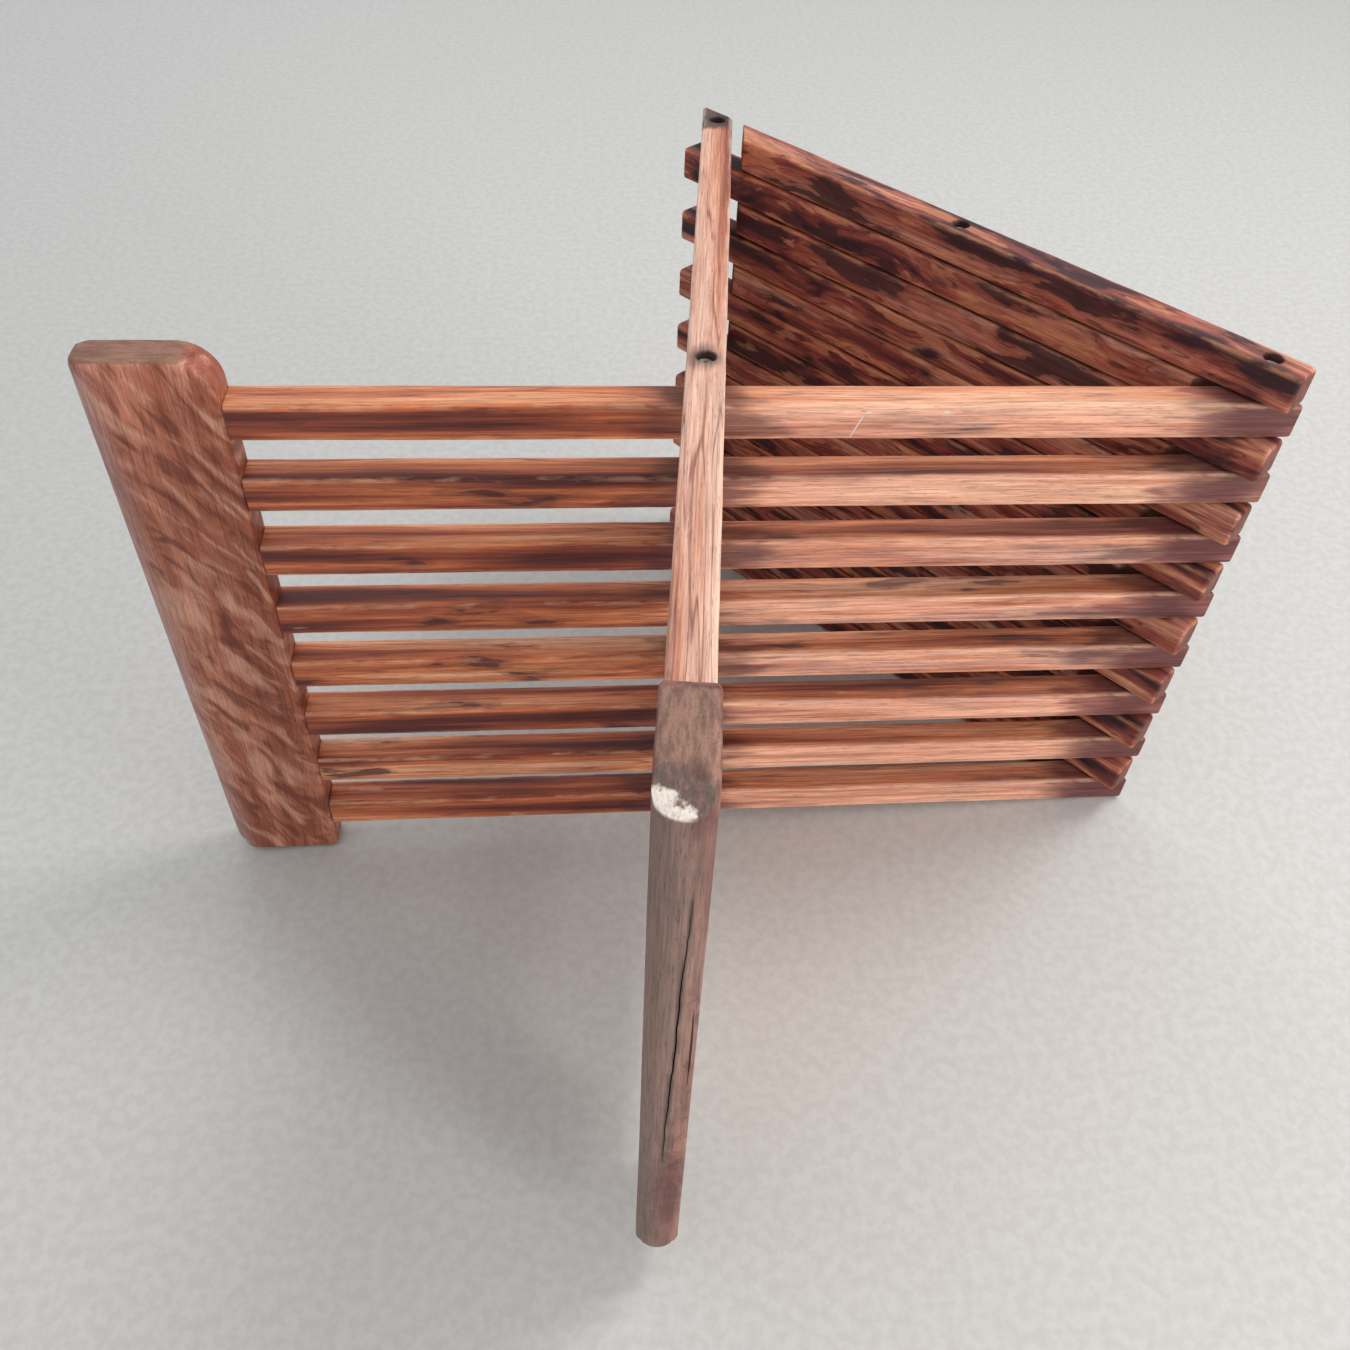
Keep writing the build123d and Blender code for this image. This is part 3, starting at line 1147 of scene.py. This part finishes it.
    def end_colour(self, tree: WoodTree) -> Term:
        """Colour the end grain, with its rings and its scruffy patches.

        Args:
            tree: The material's tree.

        Returns:
            The colour.
        """
        _, across, thick = tree.place
        patterns = ((self.rings, 7.0), (self.specks, 3.0), (self.scruffs, 1.6))
        ring, speck, patch = (tree.pattern(each, (across, thick, layer)) for each, layer in patterns)
        colour = tree.layered(self.end_grain, (
            (ring.rise(0.4, 0.65) * 0.5, self.end_dark),
            (patch.rise(0.45, 0.62) * self.end_scruff, self.end_dark),
        ))
        return tree.tinted(colour, speck, *self.end_tint)


@dataclass(frozen=True)
class SteelFinish:
    """Dull greenish steel of the hinge rods, with a little rust."""

    name: str = "rod_steel"
    bare: Colour = paint(196, 198, 182)
    dull: Colour = paint(140, 142, 126)
    rust: Colour = paint(96, 58, 38)

    clouds = Pattern((500.0, 500.0, 260.0), 3.0, 0.6)
    grind = Pattern((2500.0, 2500.0, 500.0))
    spots = Pattern((900.0, 900.0, 300.0), 3.0, 0.7)
    relief = 0.05 * MM
    sheen = {"Metallic": 0.4}

    def material(self) -> Material:
        """Make the material.

        Returns:
            The material.
        """
        tree = FinishTree(self.name)
        place = tree.whereabouts()
        cloud, grind, spot = (tree.pattern(each, place) for each in (self.clouds, self.grind, self.spots))
        colour = tree.layered(self.dull, (
            (cloud.rise(0.35, 0.65), self.bare),
            (spot.rise(0.56, 0.68) * 0.8, self.rust),
        ))
        return tree.close(colour, 0.38 + cloud * 0.25, grind, self.relief, self.sheen)


@dataclass(frozen=True)
class DowelFinish:
    """Plain pale dowel wood, glued in and never oiled."""

    name: str = "dowel_wood"
    pale: Colour = paint(206, 176, 132)
    line: Colour = paint(158, 118, 78)

    lines = Pattern((60.0, 60.0, 1400.0), 3.0, 0.6)
    flecks = Pattern((300.0, 300.0, 2400.0), 1.0)
    relief = 0.1 * MM

    def material(self) -> Material:
        """Make the material.

        Returns:
            The material.
        """
        tree = FinishTree(self.name)
        place = tree.whereabouts()
        grain, fleck = tree.pattern(self.lines, place), tree.pattern(self.flecks, place)
        colour = tree.blend(grain.rise(0.4, 0.7), self.pale, self.line)
        return tree.close(colour, 0.62 + fleck * 0.1, grain, self.relief)


# ---- The rack ----


@dataclass(frozen=True)
class Linkage:
    """Plan of the four pivots while the rack is open, read from the joints."""

    crossing: Vector
    corner_a: Vector
    corner_b: Vector

    @classmethod
    def from_frame(cls) -> "Linkage":
        """Read the pivots from the frame's joints."""
        pivots = {joint["name"]: Vector(joint["pos_m"]) for joint in frame["joints"]}
        return cls(pivots["fold"], pivots["base_a_hinge"], pivots["base_b_hinge"])

    @property
    def side_length(self) -> float:
        """Distance from the crossing rod to a corner rod."""
        return (self.corner_a - self.crossing).length

    @property
    def base_span(self) -> float:
        """Distance between the two corner rods."""
        return (self.corner_b - self.corner_a).length

    @property
    def half_open(self) -> float:
        """Half the angle between the two sides."""
        return math.asin(self.base_span / 2 / self.side_length)

    def heading(self, start: Vector, end: Vector) -> float:
        """Return the direction from one pivot to another, about Z."""
        return math.atan2(end.y - start.y, end.x - start.x)


@dataclass(frozen=True)
class Panel:
    """One row of slats on a body."""

    body: str
    pivot: Vector
    heading: float
    foot: float
    head: float
    head_slope: float
    second_bore: float
    foot_arris: float
    slot: str
    tones: tuple[float, ...]
    doweled: bool = False
    first_marked: bool = False

    def build(self, tree: SlatTree, finish: Material) -> list[Piece]:
        """Return the panel's slats, from the top down."""
        return [self.slat(number, tree, finish) for number in range(1, PANEL_SLATS + 1)]

    def slat(self, number: int, tree: SlatTree, finish: Material) -> Piece:
        """Make one slat where its CAD node lies.

        Args:
            number: Its place in the panel, from the top down.
            tree: The tree that makes a slat.
            finish: Its material.

        Returns:
            The slat.
        """
        node = f"{self.body}_slat_{number}"
        low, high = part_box(node)
        place = Vector((self.pivot.x, self.pivot.y, (low.z + high.z) / 2))
        at_stack_end = number in (1, PANEL_SLATS)
        piece = tree.bake(f"{node}_timber", {
            "Foot": self.foot,
            "Head": self.head,
            "Head Slope": self.head_slope,
            "Half Depth": TIMBER.halves[0],
            "Half Thickness": TIMBER.halves[1],
            "Arris": TIMBER.arris,
            "Foot Arris": self.foot_arris,
            "Head Arris": TIMBER.head_arris,
            "First Bore": 0.0,
            "Second Bore": self.second_bore,
            "Bore Radius": TIMBER.bore_radius,
            "Mouth": TIMBER.outer_mouth if at_stack_end else TIMBER.inner_mouth,
            "Dowel Radius": TIMBER.dowel_radius,
            "Dowel Depth": TIMBER.dowel_depth,
            "Doweled": self.doweled,
            "Marks": float(self.first_marked and number == 1),
            "Turn": self.heading,
            "Tone": self.tones[number - 1],
            "Place": place,
            "Finish": finish,
        })
        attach(piece, self.body)
        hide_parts(node)
        return piece


@dataclass(frozen=True)
class GripBoard:
    """The board on the slat ends of one side."""

    body: str
    node: str
    heading: float
    pivot: Vector
    tone: float
    outer_head_corner: float = 5 * MM
    inner_head_corner: float = 18 * MM
    outer_foot_corner: float = 12 * MM
    inner_foot_corner: float = 5 * MM
    chewed: bool = False

    def build(self, tree: BoardTree, finish: Material) -> Piece:
        """Make the board where its CAD node lies.

        Args:
            tree: The tree that makes a board.
            finish: Its material.

        Returns:
            The board.
        """
        low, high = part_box(self.node)
        along = Vector((math.cos(self.heading), math.sin(self.heading), 0.0))
        place = self.pivot - along * (TIMBER.grip_length + TIMBER.board_width / 2)
        place.z = (low.z + high.z) / 2
        piece = tree.bake(f"{self.node}_timber", {
            "Half Width": TIMBER.board_width / 2,
            "Half Thickness": TIMBER.board_thickness / 2,
            "Half Height": (high.z - low.z) / 2,
            "Bullnose": TIMBER.board_bullnose,
            "Arris": TIMBER.board_arris,
            "Outer Head Corner": self.outer_head_corner,
            "Inner Head Corner": self.inner_head_corner,
            "Outer Foot Corner": self.outer_foot_corner,
            "Inner Foot Corner": self.inner_foot_corner,
            "Chew": float(self.chewed),
            "Cracked": self.chewed,
            "Dowel Radius": TIMBER.dowel_radius,
            "Dowel Depth": TIMBER.dowel_depth,
            "Turn": self.heading,
            "Tone": self.tone,
            "Place": place,
            "Finish": finish,
        })
        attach(piece, self.body)
        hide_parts(self.node)
        return piece


class Rack:
    """The whole magazine rack: four panels of slats, two boards, rods and dowels."""

    def __init__(self, linkage: Linkage) -> None:
        """Prepare the tree of the slats."""
        self.linkage = linkage
        self.slat_tree = SlatTree()

    def build_side_a(self) -> list[Piece]:
        """Make side A's slats: streaky orange-brown wood.

        Returns:
            The slats.
        """
        link = self.linkage
        finish = SlatFinish(
            name="side_a_wood", second_bore=link.side_length,
            zones=(
                (0.28, paint(96, 46, 42)), (0.37, paint(158, 80, 54)), (0.46, paint(204, 118, 76)),
                (0.55, paint(222, 146, 104)), (0.66, paint(232, 176, 140)),
            ),
            vein=paint(116, 58, 48), rubbed=paint(230, 176, 140), stain=paint(78, 40, 44),
            end_grain=paint(150, 112, 92), vein_strength=0.55, waviness=12 * MM, wave_rate=4.5,
            stain_level=0.375, patch_level=0.68, rod_stain=0.7, bleed_reach=42 * MM, roughness=0.46,
            # The outer face beyond the first rod is bleached and painted lit; the wood before it gets
            # painted shade.
            far_face_bleach_and_light=0.6, near_shade=0.11, tip_stain=0.75,
        ).material()
        return self.side("side_a", link.corner_a, -1.0, finish, first_marked=True,
                         tones=(0.58, 0.62, 0.44, 0.3, 0.78, 0.2, 0.52, 0.41))

    def build_side_b(self) -> list[Piece]:
        """Make side B's slats: the same wood, bleached on top.

        Returns:
            The slats.
        """
        link = self.linkage
        finish = SlatFinish(
            name="side_b_wood", second_bore=link.side_length,
            zones=(
                (0.30, paint(128, 66, 48)), (0.41, paint(178, 104, 76)), (0.51, paint(206, 140, 112)),
                (0.66, paint(228, 182, 160)),
            ),
            vein=paint(128, 70, 54), rubbed=paint(234, 200, 180), stain=paint(52, 34, 32),
            end_grain=paint(104, 78, 68), vein_strength=0.75, waviness=8 * MM, wave_rate=4.0,
            stain_level=0.3, patch_level=0.66, rod_stain=0.75, bleed_reach=18 * MM, roughness=0.44,
            near_shade=-0.05, tip_stain=0.85, tip_reach=7 * MM, wine=paint(50, 38, 38),
        ).material()
        return self.side("side_b", link.corner_b, 1.0, finish,
                         tones=(0.6, 0.35, 0.5, 0.25, 0.66, 0.42, 0.3, 0.55))

    def side(
        self, body: str, corner: Vector, outside: float, finish: Material,
        tones: tuple[float, ...], first_marked: bool = False,
    ) -> list[Piece]:
        """Make a side's slats.

        Args:
            body: The body they ride on.
            corner: The pivot at the side's far end.
            outside: Which way out is, along the slats' local Y.
            finish: Their material.
            tones: One tone for each slat, from the top down.
            first_marked: Whether the top slat is scratched.

        Returns:
            The slats.
        """
        link = self.linkage
        panel = Panel(
            body=body, pivot=link.crossing, heading=link.heading(link.crossing, corner),
            foot=-TIMBER.grip_length,
            head=link.side_length + TIMBER.depth / 2 / math.cos(link.half_open),
            head_slope=outside * math.tan(link.half_open), second_bore=link.side_length,
            foot_arris=TIMBER.foot_arris, slot="side_slat_wood", tones=tones, doweled=True,
            first_marked=first_marked,
        )
        return panel.build(self.slat_tree, finish)

    def build_bases(self) -> list[Piece]:
        """Make the slats of both base panels: darker, stained wood.

        Returns:
            The slats.
        """
        link = self.linkage
        finish = SlatFinish(
            name="base_wood", second_bore=link.base_span / 2,
            zones=(
                (0.32, paint(74, 34, 38)), (0.41, paint(126, 58, 52)), (0.50, paint(164, 86, 68)),
                (0.58, paint(180, 110, 90)), (0.70, paint(198, 148, 132)),
            ),
            vein=paint(64, 30, 34), rubbed=paint(214, 144, 104), stain=paint(42, 22, 30),
            end_grain=paint(140, 96, 78), vein_strength=0.75, waviness=26 * MM, wave_rate=14.0,
            stain_level=0.45, patch_level=0.56, rod_stain=0.55, bleed_reach=14 * MM, roughness=0.48,
            blots=Pattern((15.0, 84.0, 84.0), 4.0, 0.55),
        ).material()
        rows = (
            ("base_a", link.corner_a, link.corner_b, -1.0, (0.7, 0.3, 0.5, 0.2, 0.6, 0.4, 0.35, 0.25)),
            ("base_b", link.corner_b, link.corner_a, 1.0, (0.45, 0.55, 0.25, 0.65, 0.3, 0.5, 0.2, 0.4)),
        )
        made = []
        for body, pivot, far, outside, tones in rows:
            panel = Panel(
                body=body, pivot=pivot, heading=link.heading(pivot, far), foot=-TIMBER.base_overhang,
                head=link.base_span - (TIMBER.depth / 2 + TIMBER.base_end_gap) / math.cos(link.half_open),
                head_slope=outside * math.tan(link.half_open), second_bore=link.base_span / 2,
                foot_arris=TIMBER.stub_arris, slot="base_slat_wood", tones=tones,
            )
            made += panel.build(self.slat_tree, finish)
        return made

    def board_dowels(self, board: str, slats: str) -> list[float]:
        """Find the height of each slat's dowel above the middle of its board.

        Args:
            board: The board's node.
            slats: The body of its slats.

        Returns:
            The heights, from the top down.
        """
        low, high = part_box(board)
        middle = (low.z + high.z) / 2
        boxes = [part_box(f"{slats}_slat_{number}") for number in range(1, PANEL_SLATS + 1)]
        return [(slat_low.z + slat_high.z) / 2 - middle for slat_low, slat_high in boxes]

    def build_boards(self) -> list[Piece]:
        """Make the two grip boards: A cloudy and whole, B greyed, split and chewed.

        Returns:
            The boards.
        """
        link = self.linkage
        tree = BoardTree(self.board_dowels("grip_board_a", "side_a"))
        cloudy = BoardFinish(
            name="board_a_wood", heart=paint(158, 88, 64), light=paint(190, 120, 94),
            dark=paint(100, 44, 34), veil=paint(212, 158, 134), edge=paint(176, 142, 134),
            end_grain=paint(150, 112, 92), end_dark=paint(96, 60, 50), raw=paint(214, 198, 186),
            split_shade=paint(40, 26, 24), stripe_share=0.4, veil_share=0.7, edge_share=0.75, edge_lean=0.0,
            end_scruff=0.45, roughness=0.4,
        ).material()
        greyed = BoardFinish(
            name="board_b_wood", heart=paint(116, 70, 62), light=paint(152, 104, 90),
            dark=paint(72, 44, 42), veil=paint(132, 98, 88), edge=paint(140, 116, 104),
            end_grain=paint(160, 122, 104), end_dark=paint(68, 42, 40), raw=paint(240, 228, 214),
            split_shade=paint(34, 24, 24), stripe_share=0.8, veil_share=0.4, edge_share=0.75, edge_lean=26.0,
            end_scruff=0.85, roughness=0.46,
        ).material()
        board_a = GripBoard("side_a", "grip_board_a", link.heading(link.crossing, link.corner_a),
                            link.crossing, tone=0.35)
        board_b = GripBoard("side_b", "grip_board_b", link.heading(link.crossing, link.corner_b),
                            link.crossing, tone=0.7, chewed=True)
        return [board_a.build(tree, cloudy), board_b.build(tree, greyed)]

    def dress_metal_and_dowels(self) -> list[Piece]:
        """Give the rods and the dowels, whose CAD shapes stay, their finishes.

        Returns:
            Their nodes.
        """
        steel, pale = SteelFinish().material(), DowelFinish().material()
        kept = []
        for name, node in frame["nodes"].items():
            if "rod" in name or "dowels" in name:
                node.data.materials.clear()
                node.data.materials.append(steel if "rod" in name else pale)
                kept.append(node)
        return kept


# ---- The studio ----


def staged(name: str, data: bpy.types.ID) -> Piece:
    """Make an object that the scene shows.

    Args:
        name: Its name.
        data: Its mesh, lamp or camera.

    Returns:
        The object.
    """
    thing = bpy.data.objects.new(name, data)
    bpy.context.scene.collection.objects.link(thing)
    return thing


@dataclass(frozen=True)
class Lamp:
    """A soft square lamp that faces the rack."""

    name: str
    place: tuple[float, float, float]
    size: float
    power: float
    colour: tuple[float, float, float]
    target: tuple[float, float, float] = (0.02, 0.02, 0.15)

    def build(self) -> Piece:
        """Make the lamp.

        Returns:
            The lamp.
        """
        data = bpy.data.lights.new(self.name, "AREA")
        data.shape = "SQUARE"
        data.size = self.size
        data.energy = self.power
        data.color = self.colour
        lamp = staged(self.name, data)
        lamp.location = self.place
        aim = Vector(self.target) - Vector(self.place)
        lamp.rotation_euler = aim.to_track_quat("-Z", "Y").to_euler()
        return lamp


@dataclass(frozen=True)
class Viewpoint:
    """The camera: standing over grip board B and looking down at the rack."""

    standpoint: Vector = Vector((-0.0551, -0.4761, 0.6086))    # from the foot of the crossing rod
    yaw: float = math.radians(7.81)         # from +Y towards +X
    pitch: float = math.radians(-45.46)
    roll: float = math.radians(4.35)
    lens: float = 32.39                     # millimetres, as is the sensor
    sensor: float = 36.0
    nearest: float = 10 * MM
    shift: tuple[float, float] = (-0.02237, -0.0052)

    def build(self, origin: Vector) -> Piece:
        """Make the camera.

        Args:
            origin: The foot of the crossing rod.

        Returns:
            The camera, which the scene then uses.
        """
        data = bpy.data.cameras.new("camera")
        data.lens = self.lens
        data.sensor_width = self.sensor
        data.shift_x, data.shift_y = self.shift
        data.clip_start = self.nearest
        camera = staged("camera", data)
        turn = Matrix.Rotation(-self.yaw, 4, "Z")
        tilt = Matrix.Rotation(math.pi / 2 + self.pitch, 4, "X")
        camera.matrix_world = (
            Matrix.Translation(origin + self.standpoint) @ turn @ tilt @ Matrix.Rotation(self.roll, 4, "Z")
        )
        bpy.context.scene.camera = camera
        return camera


@dataclass(frozen=True)
class Floor:
    """A plain pale floor under the three points that the rack rests on."""

    half_side: float = 4.0
    ground: Colour = paint(200, 199, 195)
    fleck: Colour = paint(192, 190, 186)
    roughness: float = 0.6
    relief: float = 0.1 * MM
    mottling: Pattern = Pattern((160.0, 160.0, 0.0), 3.0, 0.6)

    def plane(self, linkage: Linkage) -> tuple[Vector, Vector]:
        """Find the surface that the rack stands on.

        It stands on board A's foot, the lowest slats' corner by corner rod A and the stub of
        the lowest base slat behind corner rod B, so the floor is not square to the rods.

        Args:
            linkage: The pivots.

        Returns:
            A point on the surface and its upward normal.
        """
        board_low, board_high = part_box("grip_board_a")
        slat_low, slat_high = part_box("side_a_slat_8")
        stub_low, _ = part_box("base_b_slat_8")
        behind = (linkage.corner_b - linkage.corner_a).normalized() * TIMBER.base_overhang
        board_foot = Vector((board_high.x, (board_low.y + board_high.y) / 2, board_low.z))
        slat_corner = Vector((slat_high.x, slat_low.y, slat_low.z))
        stub_end = linkage.corner_b + behind
        stub_end.z = stub_low.z
        normal = (slat_corner - board_foot).cross(stub_end - board_foot).normalized()
        points = (vertex.co for node in frame["nodes"].values() for vertex in node.data.vertices)
        lowest = min((point - board_foot).dot(normal) for point in points)
        return board_foot + normal * lowest, normal

    def build(self, linkage: Linkage) -> Piece:
        """Make the floor.

        Args:
            linkage: The pivots.

        Returns:
            The floor.
        """
        point, normal = self.plane(linkage)
        reach = self.half_side
        corners = [(-reach, -reach), (reach, -reach), (reach, reach), (-reach, reach)]
        slope_x, slope_y = normal.x / normal.z, normal.y / normal.z
        rim = [(x, y, point.z - (x - point.x) * slope_x - (y - point.y) * slope_y) for x, y in corners]
        mesh = bpy.data.meshes.new("floor")
        mesh.from_pydata(rim, [], [(0, 1, 2, 3)])
        mesh.materials.append(self.material())
        floor = staged("floor", mesh)
        return floor

    def material(self) -> Material:
        """Make the floor's plain, faintly mottled finish.

        Returns:
            The material.
        """
        tree = FinishTree("floor_finish")
        mottle = tree.pattern(self.mottling, tree.whereabouts())
        colour = tree.blend(mottle.rise(0.35, 0.65), self.ground, self.fleck)
        return tree.close(colour, self.roughness, mottle, self.relief)


@dataclass(frozen=True)
class Studio:
    """Floor, lamps, sky and camera."""

    sky: Colour = (0.9, 0.93, 0.97, 1.0)
    sky_strength: float = 0.8
    lamps: tuple[Lamp, ...] = (
        Lamp("front_lamp", (1.35, -1.4, 0.62), 0.5, 20.0, (1.0, 0.96, 0.92)),
        Lamp("right_lamp", (1.0, 0.35, 1.8), 0.6, 15.0, (1.0, 0.97, 0.94)),
        Lamp("back_lamp", (-0.5, 1.5, 1.7), 0.9, 4.0, (0.96, 0.98, 1.0)),
    )

    def build(self, linkage: Linkage) -> None:
        """Set up the studio round the rack.

        Args:
            linkage: The pivots.
        """
        Floor().build(linkage)
        for lamp in self.lamps:
            lamp.build()
        world = bpy.data.worlds.new("studio")
        world.use_nodes = True
        backdrop = world.node_tree.nodes["Background"]
        backdrop.inputs["Color"].default_value = self.sky
        backdrop.inputs["Strength"].default_value = self.sky_strength
        bpy.context.scene.world = world
        bpy.context.scene.view_settings.view_transform = "Standard"
        Viewpoint().build(linkage.crossing)


def report(stage: str, pieces: Iterable[Piece]) -> None:
    """Log each piece of a stage with its number of faces."""
    for piece in pieces:
        log.info("%s: %s, %d faces", stage, piece.name, len(piece.data.polygons))


def main() -> None:
    """Build the rack piece by piece, and then the studio."""
    logging.basicConfig(level=logging.INFO, format="%(name)s: %(message)s")
    rack = Rack(Linkage.from_frame())
    report("side A", rack.build_side_a())
    report("side B", rack.build_side_b())
    report("bases", rack.build_bases())
    report("grip boards", rack.build_boards())
    report("rods and dowels", rack.dress_metal_and_dowels())
    Studio().build(rack.linkage)


if __name__ == "__main__":
    main()
